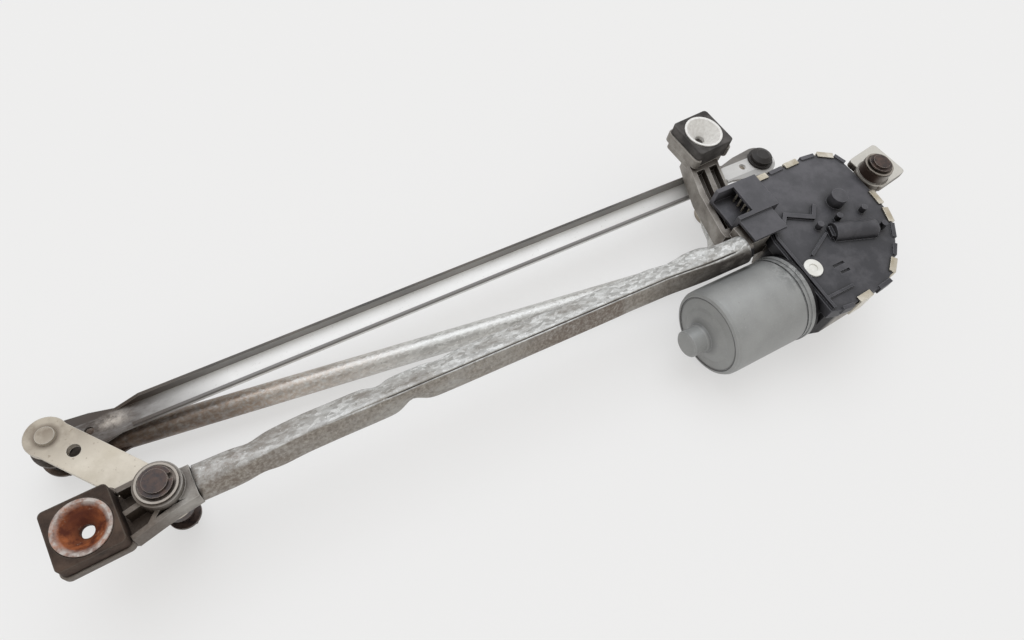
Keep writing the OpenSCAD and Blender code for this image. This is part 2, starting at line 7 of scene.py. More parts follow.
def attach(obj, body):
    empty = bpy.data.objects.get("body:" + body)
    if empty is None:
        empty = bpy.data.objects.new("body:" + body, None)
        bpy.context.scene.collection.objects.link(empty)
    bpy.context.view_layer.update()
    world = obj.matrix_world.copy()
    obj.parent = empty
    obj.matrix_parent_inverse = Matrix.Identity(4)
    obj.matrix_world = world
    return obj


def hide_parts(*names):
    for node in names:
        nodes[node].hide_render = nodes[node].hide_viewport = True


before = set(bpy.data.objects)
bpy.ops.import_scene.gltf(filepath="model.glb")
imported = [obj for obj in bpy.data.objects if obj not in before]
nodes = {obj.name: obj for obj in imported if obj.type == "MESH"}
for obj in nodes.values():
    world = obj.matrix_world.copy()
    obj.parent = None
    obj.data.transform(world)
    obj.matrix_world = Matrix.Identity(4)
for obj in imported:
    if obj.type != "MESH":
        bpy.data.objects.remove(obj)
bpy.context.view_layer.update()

# Camera: a hand-held wide view from the near left, high above the table.
# Its place and lens were fitted to the mount blocks, the frame tube and the motor.
view = bpy.data.cameras.new("view")
view.sensor_width = 36.0
view.lens = 26.02
view.clip_start = 0.01
view_object = bpy.data.objects.new("view", view)
bpy.context.scene.collection.objects.link(view_object)
view_right = Vector((0.8606, -0.4922, 0.1305)).normalized()
view_back = Vector((-0.3436, -0.3721, 0.8622))
view_back = (view_back - view_right * view_back.dot(view_right)).normalized()
view_up = view_back.cross(view_right)
view_object.matrix_world = Matrix((
    (view_right.x, view_up.x, view_back.x, 0.0540),
    (view_right.y, view_up.y, view_back.y, -0.1537),
    (view_right.z, view_up.z, view_back.z, 0.4309),
    (0.0, 0.0, 0.0, 1.0)))
bpy.context.scene.camera = view_object
bpy.context.scene.view_settings.view_transform = "Standard"

# Table and light: a pale matt sheet under a broad soft lamp and an even white room.
# The sheet shows the room's white to the camera and to polished metal, and keeps the shadow.
room = bpy.data.worlds.new("room")
bpy.context.scene.world = room
room.use_nodes = True
room_light = room.node_tree.nodes["Background"]
room_light.inputs["Color"].default_value = (1.0, 0.978, 0.945, 1.0)
room_light.inputs["Strength"].default_value = 0.72
room_tree = room.node_tree
room_pale = room_tree.nodes.new("ShaderNodeBackground")
room_pale.inputs["Color"].default_value = (0.855, 0.853, 0.850, 1.0)
room_ray = room_tree.nodes.new("ShaderNodeLightPath")
room_mix = room_tree.nodes.new("ShaderNodeMixShader")
room_tree.links.new(room_ray.outputs["Is Camera Ray"], room_mix.inputs[0])
room_tree.links.new(room_light.outputs["Background"], room_mix.inputs[1])
room_tree.links.new(room_pale.outputs["Background"], room_mix.inputs[2])
room_tree.links.new(room_mix.outputs["Shader"], room_tree.nodes["World Output"].inputs["Surface"])

lamp = bpy.data.lights.new("lamp", "SUN")
lamp.energy = 1.12
lamp.angle = math.radians(50)
lamp.color = (0.88, 0.93, 1.0)
lamp_object = bpy.data.objects.new("lamp", lamp)
bpy.context.scene.collection.objects.link(lamp_object)
lamp_object.rotation_euler = (math.radians(-24), math.radians(10), 0.0)

sheet_mesh = bpy.data.meshes.new("table")
sheet_mesh.from_pydata([(-6, -6, 0), (6, -6, 0), (6, 6, 0), (-6, 6, 0)], [], [(0, 1, 2, 3)])
sheet = bpy.data.objects.new("table", sheet_mesh)
bpy.context.scene.collection.objects.link(sheet)
sheet.location.z = -0.0004
paper = bpy.data.materials.new("table_paper")
paper.use_nodes = True
paper_shader = paper.node_tree.nodes["Principled BSDF"]
paper_shader.inputs["Base Color"].default_value = (0.86, 0.855, 0.85, 1.0)
paper_shader.inputs["Roughness"].default_value = 0.9
paper_shader.inputs["Specular IOR Level"].default_value = 0.1
paper_tree = paper.node_tree
paper_glow = paper_tree.nodes.new("ShaderNodeEmission")
paper_glow.inputs["Color"].default_value = (0.855, 0.853, 0.850, 1.0)
paper_ray = paper_tree.nodes.new("ShaderNodeLightPath")
paper_seen = paper_tree.nodes.new("ShaderNodeMath")
paper_seen.operation = "MAXIMUM"
paper_tree.links.new(paper_ray.outputs["Is Camera Ray"], paper_seen.inputs[0])
paper_tree.links.new(paper_ray.outputs["Is Glossy Ray"], paper_seen.inputs[1])
paper_any = paper_tree.nodes.new("ShaderNodeMath")
paper_any.operation = "MAXIMUM"
paper_tree.links.new(paper_seen.outputs["Value"], paper_any.inputs[0])
paper_tree.links.new(paper_ray.outputs["Is Transmission Ray"], paper_any.inputs[1])
paper_share = paper_tree.nodes.new("ShaderNodeMath")
paper_share.operation = "MULTIPLY"
paper_share.inputs[1].default_value = 0.62
paper_tree.links.new(paper_any.outputs["Value"], paper_share.inputs[0])
paper_mix = paper_tree.nodes.new("ShaderNodeMixShader")
paper_tree.links.new(paper_share.outputs["Value"], paper_mix.inputs[0])
paper_tree.links.new(paper_shader.outputs["BSDF"], paper_mix.inputs[1])
paper_tree.links.new(paper_glow.outputs["Emission"], paper_mix.inputs[2])
paper_tree.links.new(
    paper_mix.outputs["Shader"], paper_tree.nodes["Material Output"].inputs["Surface"])
sheet_mesh.materials.append(paper)


# Castings: the left pivot housing and the gear housing are pressure-cast aluminium,
# dull and pitted, with dark grease and painted shade in the hollows and bright metal on worn edges.
def rgb(r, g, b):
    """Screen colour, 0 to 255, as the linear colour that a shader takes."""
    parts = []
    for value in (r, g, b):
        value = value / 255.0
        parts.append(value / 12.92 if value <= 0.04045 else ((value + 0.055) / 1.055) ** 2.4)
    return (parts[0], parts[1], parts[2], 1.0)


class Finish:
    """A node material that is built up step by step around one Principled shader."""

    def __init__(self, name, metallic=0.0, specular=0.5):
        self.material = bpy.data.materials.new(name)
        self.material.use_nodes = True
        self.tree = self.material.node_tree
        self.shader = self.tree.nodes["Principled BSDF"]
        self.shader.inputs["Metallic"].default_value = metallic
        self.shader.inputs["Specular IOR Level"].default_value = specular
        self.place = self.add("ShaderNodeTexCoord").outputs["Object"]
        self.normal = None

    def add(self, kind, **settings):
        node = self.tree.nodes.new(kind)
        for key, value in settings.items():
            setattr(node, key, value)
        return node

    def link(self, source, target):
        self.tree.links.new(source, target)

    def stretched(self, x, y, z):
        node = self.add("ShaderNodeMapping")
        node.inputs["Scale"].default_value = (x, y, z)
        self.link(self.place, node.inputs["Vector"])
        return node.outputs["Vector"]

    def noise(self, scale, detail=6.0, rough=0.6, where=None):
        node = self.add("ShaderNodeTexNoise")
        node.inputs["Scale"].default_value = scale
        node.inputs["Detail"].default_value = detail
        node.inputs["Roughness"].default_value = rough
        self.link(where or self.place, node.inputs["Vector"])
        return node.outputs["Fac"]

    def cells(self, scale, where=None):
        node = self.add("ShaderNodeTexVoronoi")
        node.inputs["Scale"].default_value = scale
        self.link(where or self.place, node.inputs["Vector"])
        split = self.add("ShaderNodeSeparateColor")
        self.link(node.outputs["Color"], split.inputs["Color"])
        return split.outputs["Red"]

    def ramp(self, source, low, high, start=0.0, end=1.0):
        node = self.add("ShaderNodeMapRange")
        node.inputs["From Min"].default_value = low
        node.inputs["From Max"].default_value = high
        node.inputs["To Min"].default_value = start
        node.inputs["To Max"].default_value = end
        self.link(source, node.inputs["Value"])
        return node.outputs["Result"]

    def along(self, axis, low, high):
        split = self.add("ShaderNodeSeparateXYZ")
        self.link(self.place, split.inputs["Vector"])
        return self.ramp(split.outputs[axis], low, high)

    def around(self, centre, across):
        """Distance from an axis line through centre; across leaves out the line's own direction."""
        shift = self.add("ShaderNodeVectorMath", operation="SUBTRACT")
        self.link(self.place, shift.inputs[0])
        shift.inputs[1].default_value = centre
        flat = self.add("ShaderNodeVectorMath", operation="MULTIPLY")
        self.link(shift.outputs["Vector"], flat.inputs[0])
        flat.inputs[1].default_value = across
        size = self.add("ShaderNodeVectorMath", operation="LENGTH")
        self.link(flat.outputs["Vector"], size.inputs[0])
        return size.outputs["Value"]

    def times(self, a, b):
        node = self.add("ShaderNodeMath", operation="MULTIPLY")
        self.link(a, node.inputs[0])
        self.link(b, node.inputs[1])
        return node.outputs["Value"]

    def blend(self, fac, a, b):
        node = self.add("ShaderNodeMix", data_type="RGBA")
        self.link(fac, node.inputs["Factor"])
        for value, socket in ((a, node.inputs[6]), (b, node.inputs[7])):
            if isinstance(value, tuple):
                socket.default_value = value
            else:
                self.link(value, socket)
        return node.outputs[2]

    def edges(self, radius):
        """Rounds sharp edges in the shading, and returns where they are."""
        node = self.add("ShaderNodeBevel", samples=4)
        node.inputs["Radius"].default_value = radius
        self.normal = node.outputs["Normal"]
        face = self.add("ShaderNodeNewGeometry")
        dot = self.add("ShaderNodeVectorMath", operation="DOT_PRODUCT")
        self.link(node.outputs["Normal"], dot.inputs[0])
        self.link(face.outputs["Normal"], dot.inputs[1])
        return self.ramp(dot.outputs["Value"], 0.995, 0.9)

    def corner_shade_and_dirt(self, distance, start=0.85, full=0.35):
        """Painted shade and dirt: darkens corners and hollows, found by ambient occlusion."""
        node = self.add("ShaderNodeAmbientOcclusion", samples=4)
        node.inputs["Distance"].default_value = distance
        return self.ramp(node.outputs["AO"], start, full)

    def bump(self, source, height, strength=1.0):
        node = self.add("ShaderNodeBump")
        node.inputs["Distance"].default_value = height
        node.inputs["Strength"].default_value = strength
        self.link(source, node.inputs["Height"])
        if self.normal is not None:
            self.link(self.normal, node.inputs["Normal"])
        self.normal = node.outputs["Normal"]

    def done(self, colour, rough):
        self.link(colour, self.shader.inputs["Base Color"])
        self.link(rough, self.shader.inputs["Roughness"])
        if self.normal is not None:
            self.link(self.normal, self.shader.inputs["Normal"])
        return self.material


def dress(material, *names):
    for name in names:
        slots = nodes[name].data.materials
        slots.clear()
        slots.append(material)


casting = Finish("cast_aluminium", metallic=0.55)
casting_edge = casting.edges(0.0007)
casting_grain = casting.noise(900, 4)
casting_cloud = casting.noise(60, 5)
casting_tone = casting.blend(
    casting.ramp(casting_cloud, 0.35, 0.65), rgb(122, 116, 110), rgb(168, 164, 158))
# Painted shade with grease: ambient occlusion darkens the hollows.
casting_tone = casting.blend(casting.corner_shade_and_dirt(0.012), casting_tone, rgb(66, 57, 50))
casting_tone = casting.blend(casting_edge, casting_tone, rgb(196, 193, 188))
casting_left = casting.times(
    casting.along("X", 0.0060, -0.0080), casting.ramp(casting_cloud, 0.3, 0.6, 0.35, 0.9))
casting_tone = casting.blend(casting_left, casting_tone, rgb(92, 80, 70))
casting_pad = casting.times(casting.along("X", 0.4860, 0.4900), casting.along("Z", 0.0560, 0.0568))
casting_pad = casting.times(casting_pad, casting.along("Z", 0.0578, 0.0572))
casting_tone = casting.blend(casting_pad, casting_tone, rgb(204, 201, 194))
# Painted shade with grime: the right hub's side above the pad is painted dark brown.
casting_hub_shade = casting.times(casting.along("X", 0.4980, 0.4920), casting.along("X", 0.4850, 0.4880))
casting_hub_shade = casting.times(casting_hub_shade, casting.along("Z", 0.0575, 0.0585))
casting_tone = casting.blend(casting_hub_shade, casting_tone, rgb(62, 48, 42))
casting_seat = casting.times(
    casting.along("X", 0.4100, 0.4000), casting.along("Y", -0.0130, -0.0150))
casting_seat = casting.times(casting_seat, casting.along("X", 0.3000, 0.3100))
casting_tone = casting.blend(casting_seat, casting_tone, rgb(34, 33, 35))
casting.bump(casting_grain, 0.00025, 0.5)
dress(casting.done(casting_tone, casting.ramp(casting_grain, 0.3, 0.7, 0.45, 0.68)),
      "gear_housing", "left_housing")

# Mount trays: thin walls cast with the two seats, which hold the lower half of the rubber blocks
# on three sides and are open towards the arm; same pressure-cast aluminium.
inside, outside, thick, round_corner = 0.0157, 0.0167, 0.0016, 0.0036
for name, centre, turn, floor, low, high, first_side in (
        ("mount_tray_left", (-0.0350, -0.0050), 2.0, 0.0128, 0.0512, 0.0570, 0.0),
        ("mount_tray_upper", (0.3950, 0.0755), 4.0, 0.0138, 0.0530, 0.0612, 270.0)):
    tray = bmesh.new()
    profile = [(floor, low), (0.0160, low), (outside, low + 0.0008), (outside, high - 0.0005),
               (0.0163, high), (inside, high), (inside, low + thick), (floor, low + thick)]
    path = []
    for k in range(4):
        corner = math.radians(first_side + 45.0 + 90.0 * k)
        for step in range(-3, 4):
            path.append((corner, corner + math.radians(step * 15.0)))
    loops = []
    for corner, ray in path:
        loop = []
        for half, height in profile:
            bend = min(round_corner, half * 0.3)
            reach = (half - bend) * math.sqrt(2.0)
            x = reach * math.cos(corner) + bend * math.cos(ray)
            y = reach * math.sin(corner) + bend * math.sin(ray)
            spin = math.radians(turn)
            loop.append(tray.verts.new((
                centre[0] + x * math.cos(spin) - y * math.sin(spin),
                centre[1] + x * math.sin(spin) + y * math.cos(spin), height)))
        loops.append(loop)
    for first, second in zip(loops, loops[1:]):
        for m in range(len(profile)):
            n = (m + 1) % len(profile)
            tray.faces.new((first[m], first[n], second[n], second[m]))
    tray.faces.new(loops[0])
    tray.faces.new(loops[-1][::-1])
    bmesh.ops.recalc_face_normals(tray, faces=tray.faces)
    tray_data = bpy.data.meshes.new(name)
    tray.to_mesh(tray_data)
    tray.free()
    tray_data.materials.append(casting.material)
    tray_piece = bpy.data.objects.new(name, tray_data)
    bpy.context.scene.collection.objects.link(tray_piece)
    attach(tray_piece, "frame")

# Frame tube: welded steel tube, hot-dip galvanised, round at both ends and pressed square between,
# with the press marks of its waist, a folded crease along the top and a crumpled right end.
# The zinc shows spangle, white bloom and brown grease stains, heavier at the right end; its crease and
# its side towards -Y are painted darker as shade.
def smooth(value, low, high):
    part = min(1.0, max(0.0, (value - low) / (high - low)))
    return part * part * (3.0 - 2.0 * part)


tube_start = Vector((0.0150, -0.0030, 0.0520))
tube_run = Vector((0.3700, -0.0100, 0.0520)) - tube_start
tube_length = tube_run.length
tube_run.normalize()
tube_side = Vector((0.0, 0.0, 1.0)).cross(tube_run)
tube_face = Vector((0.0, 0.0, 0.927)) - tube_side * 0.375
tube_over = tube_face.cross(tube_run)
tube_round = 0.0095  # outer radius where the tube is round
tube_square = 0.00815  # half width where it is pressed square
tube_bore = 0.0075  # bore, kept smaller where a mark would cut through the wall
tube_wall = 0.0012
tube_bow = 0.0019  # how far it bows between its ends
tube_marks = [
    # place along the tube, half width, angle from the crease, depth; metres and degrees
    (0.029, 0.006, 90, 0.0011), (0.031, 0.007, -90, 0.0013), (0.100, 0.006, 90, 0.0019),
    (0.116, 0.007, -90, 0.0040), (0.137, 0.006, 90, 0.0014), (0.128, 0.010, -35, 0.0007),
    (0.052, 0.012, 30, 0.0004), (0.075, 0.009, -40, 0.0004), (0.205, 0.014, 40, 0.0005),
    (0.262, 0.010, -45, 0.0006), (0.296, 0.008, 90, 0.0010), (0.322, 0.011, 90, -0.0024),
    (0.333, 0.005, 60, 0.0010), (0.312, 0.005, 75, -0.0007)]
tube_angles = [-3.4, -1.7, 0.0, 1.7, 3.4] + [3.4 + (356.6 - 3.4) * k / 60 for k in range(1, 60)]
tube_places = [0.0005 + (tube_length - 0.0010) * k / 150 for k in range(151)]


def tube_radius(place, angle):
    """Outer radius of the formed tube at a place along it and an angle from its crease."""
    square = smooth(place, 0.020, 0.042) * (1.0 - smooth(place, 0.300, 0.336))
    corner = math.radians(angle - 45.0)
    formed = tube_square / (abs(math.cos(corner)) ** 5 + abs(math.sin(corner)) ** 5) ** 0.2
    radius = tube_round + square * (formed - tube_round)
    for at, width, turn, depth in tube_marks:
        facing = max(0.0, math.cos(math.radians(angle - turn)))
        radius -= depth * facing ** 3 * math.exp(-((place - at) / width) ** 2)
    fold = smooth(place, 0.055, 0.110) * (1.0 - smooth(place, 0.338, 0.346))
    if abs(angle) < 2.0:
        radius -= fold * (0.00055 if angle == 0.0 else 0.00025)
    return radius


tube_mesh = bmesh.new()
tube_rings = []
for place in tube_places:
    bow = tube_bow * smooth(place, 0.024, 0.060) * (1.0 - smooth(place, 0.285, 0.330))
    centre = tube_start + tube_run * place + tube_over * bow
    outer = []
    inner = []
    for angle in tube_angles:
        ray = tube_face * math.cos(math.radians(angle)) + tube_over * math.sin(math.radians(angle))
        radius = tube_radius(place, angle if angle < 180.0 else angle - 360.0)
        outer.append(tube_mesh.verts.new(centre + ray * radius))
        inner.append(tube_mesh.verts.new(centre + ray * min(tube_bore, radius - tube_wall)))
    tube_rings.append((outer, inner))
tube_count = len(tube_angles)
for first, second in zip(tube_rings, tube_rings[1:]):
    for k in range(tube_count):
        n = (k + 1) % tube_count
        skin = tube_mesh.faces.new((first[0][k], first[0][n], second[0][n], second[0][k]))
        skin.smooth = True
        if k in (1, 2) and 0.100 < (first[0][k].co - tube_start).dot(tube_run) < 0.342:
            skin.material_index = 1
        bore = tube_mesh.faces.new((first[1][n], first[1][k], second[1][k], second[1][n]))
        bore.smooth = True
for ring, order in ((tube_rings[0], 1), (tube_rings[-1], -1)):
    for k in range(tube_count):
        n = (k + 1) % tube_count
        corners = (ring[0][k], ring[1][k], ring[1][n], ring[0][n])
        tube_mesh.faces.new(corners[::order])
bmesh.ops.recalc_face_normals(tube_mesh, faces=tube_mesh.faces)
tube_data = bpy.data.meshes.new("frame_tube_formed")
tube_mesh.to_mesh(tube_data)
tube_mesh.free()
tube_piece = bpy.data.objects.new("frame_tube_formed", tube_data)
bpy.context.scene.collection.objects.link(tube_piece)
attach(tube_piece, "frame")
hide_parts("main_tube")

zinc = Finish("galvanised_tube", metallic=0.45)
zinc_edge = zinc.edges(0.0011)
zinc_spangle = zinc.cells(620, zinc.stretched(0.5, 1.0, 1.0))
zinc_cloud = zinc.noise(45, 7, 0.7, zinc.stretched(0.45, 1.0, 1.0))
zinc_speck = zinc.noise(520, 5, 0.7)
zinc_tone = zinc.blend(zinc_spangle, rgb(162, 162, 160), rgb(222, 223, 222))
zinc_tone = zinc.blend(zinc.ramp(zinc_speck, 0.5, 0.66, 0.0, 0.6), zinc_tone, rgb(140, 136, 130))
zinc_tone = zinc.blend(zinc.ramp(zinc_cloud, 0.52, 0.68, 0.0, 0.8), zinc_tone, rgb(118, 110, 101))
zinc_tone = zinc.blend(zinc.ramp(zinc_speck, 0.61, 0.70), zinc_tone, rgb(236, 236, 234))
# Painted shade with brown stain: faces turned towards -Y, away from the lamp, are painted darker and
# browner.
zinc_face = zinc.add("ShaderNodeSeparateXYZ")
zinc.link(zinc.add("ShaderNodeNewGeometry").outputs["Normal"], zinc_face.inputs["Vector"])
zinc_low = zinc.ramp(zinc_face.outputs["Y"], -0.35, -0.62)
zinc_low_shade_and_brown = zinc.times(zinc_low, zinc.ramp(zinc_cloud, 0.25, 0.55, 0.35, 0.9))
zinc_low_shaded_tone = zinc.blend(
    zinc.ramp(zinc_speck, 0.38, 0.66), rgb(118, 110, 101), rgb(164, 158, 149))
zinc_tone = zinc.blend(zinc_low_shade_and_brown, zinc_tone, zinc_low_shaded_tone)
zinc_left = zinc.times(zinc.along("X", 0.105, 0.035), zinc.ramp(zinc_speck, 0.38, 0.62, 0.65, 0.0))
zinc_tone = zinc.blend(zinc_left, zinc_tone, rgb(116, 103, 92))
zinc_band = zinc.times(zinc.along("X", 0.190, 0.225), zinc.along("X", 0.273, 0.268))
zinc_band = zinc.times(zinc_band, zinc.ramp(zinc_speck, 0.62, 0.42, 0.25, 0.85))
zinc_tone = zinc.blend(zinc.times(zinc_band, zinc_low), zinc_tone, rgb(106, 93, 82))
zinc_stain = zinc.times(
    zinc.times(zinc.along("X", 0.284, 0.345), zinc_low), zinc.ramp(zinc_cloud, 0.3, 0.5, 0.5, 1.0))
zinc_tone = zinc.blend(zinc_stain, zinc_tone, rgb(44, 39, 36))
zinc_tone = zinc.blend(zinc.ramp(zinc_edge, 0.1, 0.9, 0.0, 0.4), zinc_tone, rgb(92, 88, 84))
zinc.bump(zinc_speck, 0.0002, 0.5)
tube_data.materials.append(zinc.done(zinc_tone, zinc.ramp(zinc_spangle, 0.0, 1.0, 0.4, 0.58)))

# Painted shade with dirt: the crease strip is its own dark, mottled material.
crease = Finish("tube_crease", metallic=0.2)
crease_dirt_and_shade = crease.noise(160, 6, 0.7, crease.stretched(0.35, 1.0, 1.0))
crease.bump(crease_dirt_and_shade, 0.0001, 0.4)
crease_tone = crease.blend(crease.ramp(crease_dirt_and_shade, 0.4, 0.7), rgb(52, 49, 47), rgb(112, 108, 103))
tube_data.materials.append(crease.done(crease_tone, crease.ramp(crease_dirt_and_shade, 0.3, 0.7, 0.6, 0.8)))
dress(zinc.material, "main_tube")

# Mount blocks: square rubber pads, moulded to sit in the trays and damp the drive's noise.
# The left one has gone dusty brown with age, the upper one grey.
rubber = Finish("rubber", specular=0.3)
rubber_edge = rubber.edges(0.0012)
rubber_grain = rubber.noise(1400, 3)
rubber_dust = rubber.noise(85, 6)
rubber_tone = rubber.blend(rubber.ramp(rubber_dust, 0.4, 0.7), rgb(54, 43, 37), rgb(86, 70, 60))
rubber_tone = rubber.blend(rubber_edge, rubber_tone, rgb(96, 88, 80))
rubber.bump(rubber_grain, 0.0002, 0.5)
rubber_grey = rubber.blend(rubber.ramp(rubber_dust, 0.4, 0.7), rgb(60, 58, 57), rgb(98, 95, 93))
rubber_tone = rubber.blend(rubber.along("X", 0.1, 0.2), rubber_tone, rubber_grey)
dress(rubber.done(rubber_tone, rubber.ramp(rubber_grain, 0.3, 0.7, 0.7, 0.9)),
      "rubber_left", "rubber_upper")

# Bolt cups: pressed zinc-plated steel funnels in the rubber blocks.
# The left one has rusted orange-brown inside, painted darker as shade deep in the funnel and on its +Y
# side; the upper one is still pale.
rusty = Finish("cup_rusted", metallic=0.25)
rusty.edges(0.0004)
rusty_pit = rusty.noise(260, 8, 0.7)
rusty_cloud = rusty.noise(190, 8, 0.65)
rusty_tone = rusty.blend(rusty.ramp(rusty_cloud, 0.4, 0.62), rgb(92, 42, 22), rgb(168, 98, 56))
rusty_tone = rusty.blend(rusty.ramp(rusty_pit, 0.6, 0.72), rusty_tone, rgb(196, 172, 150))
rusty_rim = rusty.along("Z", 0.0648, 0.0668)
rusty_rim = rusty.times(rusty_rim, rusty.ramp(rusty_pit, 0.6, 0.42, 0.3, 1.0))
rusty_tone = rusty.blend(rusty_rim, rusty_tone, rgb(186, 178, 172))
rusty_shade = rusty.times(rusty.along("Y", -0.0070, 0.0030), rusty.along("Z", 0.0655, 0.0630))
rusty_tone = rusty.blend(
    rusty.times(rusty_shade, rusty.ramp(rusty_cloud, 0.3, 0.6, 0.5, 1.0)), rusty_tone, rgb(84, 34, 20))
# Painted shade with rust: the funnel is painted darker deeper down, towards its hole.
rusty_deep_shade = rusty.along("Z", 0.0615, 0.0580)
rusty_tone = rusty.blend(
    rusty.times(rusty_deep_shade, rusty.ramp(rusty_cloud, 0.4, 0.6, 0.2, 1.0)), rusty_tone, rgb(74, 36, 22))
rusty.bump(rusty_pit, 0.0003, 0.6)
dress(rusty.done(rusty_tone, rusty.ramp(rusty_pit, 0.3, 0.7, 0.55, 0.85)), "cup_left")

pale_cup = Finish("cup_pale", metallic=0.35)
pale_cup_edge = pale_cup.edges(0.0004)
pale_cup_speck = pale_cup.noise(500, 5)
pale_cup_tone = pale_cup.blend(
    pale_cup.ramp(pale_cup_speck, 0.35, 0.7), rgb(214, 212, 208), rgb(236, 235, 232))
pale_cup_tone = pale_cup.blend(pale_cup_edge, pale_cup_tone, rgb(245, 244, 242))
pale_cup.bump(pale_cup_speck, 0.0001, 0.3)
dress(pale_cup.done(pale_cup_tone, pale_cup.ramp(pale_cup_speck, 0.3, 0.7, 0.35, 0.55)),
      "cup_upper")

# Motor can: deep-drawn steel cup in grey satin paint, flanged to the gear housing.
# It has fine speckle, light scuffs and a smudge on top; painted shade darkens its corners, the groove
# round its front and the foot of its nose.
paint = Finish("can_paint", metallic=0.15, specular=0.5)
paint_edge = paint.edges(0.0006)
paint_speck = paint.noise(1600, 3)
paint_cloud = paint.noise(40, 5)
paint_tone = paint.blend(
    paint.ramp(paint_cloud, 0.35, 0.65), rgb(142, 143, 142), rgb(156, 157, 156))
paint_tone = paint.blend(paint.ramp(paint_speck, 0.6, 0.72), paint_tone, rgb(166, 168, 169))
paint_scuff = paint.noise(24, 9, 0.75, paint.stretched(1.0, 2.5, 2.5))
paint_tone = paint.blend(
    paint.ramp(paint_scuff, 0.62, 0.70, 0.0, 0.6), paint_tone, rgb(104, 102, 99))
paint_fleck = paint.noise(95, 8, 0.75)
paint_tone = paint.blend(paint.ramp(paint_fleck, 0.68, 0.73), paint_tone, rgb(82, 66, 54))
paint_tone = paint.blend(
    paint.ramp(paint_fleck, 0.33, 0.28, 0.0, 0.7), paint_tone, rgb(190, 191, 190))
# Painted shade: ambient occlusion darkens the corners to near black.
paint_tone = paint.blend(paint.corner_shade_and_dirt(0.004), paint_tone, rgb(38, 38, 40))
# Painted shade: a dark ring in the groove round the front face.
paint_out = paint.around((0.0, -0.045, 0.030), (0.0, 1.0, 1.0))
paint_front = paint.along("X", 0.3265, 0.3255)
paint_groove_shade = paint.times(
    paint.ramp(paint_out, 0.0246, 0.0252), paint.ramp(paint_out, 0.0264, 0.0258))
paint_tone = paint.blend(paint.times(paint_front, paint_groove_shade), paint_tone, rgb(70, 69, 68))
# Painted shade: a darker ring round the foot of the nose on the front face.
paint_nose_shade = paint.times(
    paint.ramp(paint_out, 0.0092, 0.0096), paint.ramp(paint_out, 0.0140, 0.0105, 0.0, 0.6))
paint_tone = paint.blend(paint.times(paint_front, paint_nose_shade), paint_tone, rgb(96, 97, 97))
paint_tone = paint.blend(paint_edge, paint_tone, rgb(174, 176, 177))
paint_smudge = paint.ramp(paint.around((0.385, -0.040, 0.0), (1.0, 0.8, 0.0)), 0.016, 0.002)
paint_smudge = paint.times(
    paint_smudge, paint.ramp(paint.noise(230, 7, 0.7), 0.42, 0.56, 0.0, 0.75))
paint_tone = paint.blend(paint_smudge, paint_tone, rgb(84, 86, 86))
paint.bump(paint_speck, 0.00008, 0.4)
dress(paint.done(paint_tone, paint.ramp(paint_cloud, 0.3, 0.7, 0.38, 0.52)), "motor_can")

# Motor inside: ferrite shells glued in the can, brush plate, and the wound armature
# on its ground shaft. All of it is hidden, and keeps the finish of the real pieces.
ferrite = Finish("ferrite", specular=0.3)
ferrite_grain = ferrite.noise(700, 4)
ferrite.edges(0.0005)
ferrite.bump(ferrite_grain, 0.0001, 0.4)
ferrite_tone = ferrite.blend(ferrite_grain, rgb(48, 48, 52), rgb(72, 72, 76))
dress(ferrite.done(ferrite_tone, ferrite.ramp(ferrite_grain, 0.3, 0.7, 0.6, 0.8)), "magnets")

copper = Finish("copper_wire", metallic=0.8)
copper_turns = copper.noise(300, 3, 0.5, copper.stretched(6.0, 1.0, 1.0))
copper.bump(copper_turns, 0.0004, 0.6)
copper_tone = copper.blend(copper_turns, rgb(150, 84, 44), rgb(206, 132, 82))
dress(copper.done(copper_tone, copper.ramp(copper_turns, 0.3, 0.7, 0.3, 0.5)),
      "winding", "commutator")

core = Finish("core_steel", metallic=0.7)
core_layers = core.noise(900, 2, 0.5, core.stretched(3.0, 0.05, 0.05))
core.bump(core_layers, 0.0002, 0.6)
core_tone = core.blend(core_layers, rgb(70, 70, 74), rgb(120, 120, 124))
dress(core.done(core_tone, core.ramp(core_layers, 0.3, 0.7, 0.4, 0.6)), "lamination")

# Cover: glass-filled black moulding with a fine matt grain, painted shade in its corners,
# a painted sheen towards the back, and rubbed a little grey along its edges; the brush plate is the
# same plastic.
moulding = Finish("black_plastic", specular=0.45)
moulding_edge = moulding.edges(0.0007)
moulding_grain = moulding.noise(1500, 3)
moulding_mottle = moulding.noise(55, 7, 0.7)
moulding_tone = moulding.blend(
    moulding.ramp(moulding_mottle, 0.45, 0.7), rgb(50, 50, 55), rgb(80, 79, 83))
# Painted sheen: the moulding is painted lighter towards +Y, broken up by the mottle.
moulding_sheen = moulding.times(
    moulding.along("Y", -0.045, 0.035), moulding.ramp(moulding_mottle, 0.3, 0.6, 0.3, 0.8))
moulding_tone = moulding.blend(moulding_sheen, moulding_tone, rgb(96, 95, 100))
# Painted shade: ambient occlusion darkens corners and the feet of ribs and bosses to near black.
moulding_tone = moulding.blend(moulding.corner_shade_and_dirt(0.008, 0.94, 0.60), moulding_tone, rgb(18, 18, 20))
moulding_tone = moulding.blend(moulding_edge, moulding_tone, rgb(108, 108, 114))
moulding.bump(moulding_grain, 0.00012, 0.4)
dress(moulding.done(moulding_tone, moulding.ramp(moulding_mottle, 0.3, 0.7, 0.36, 0.55)),
      "cover", "brush_plate")

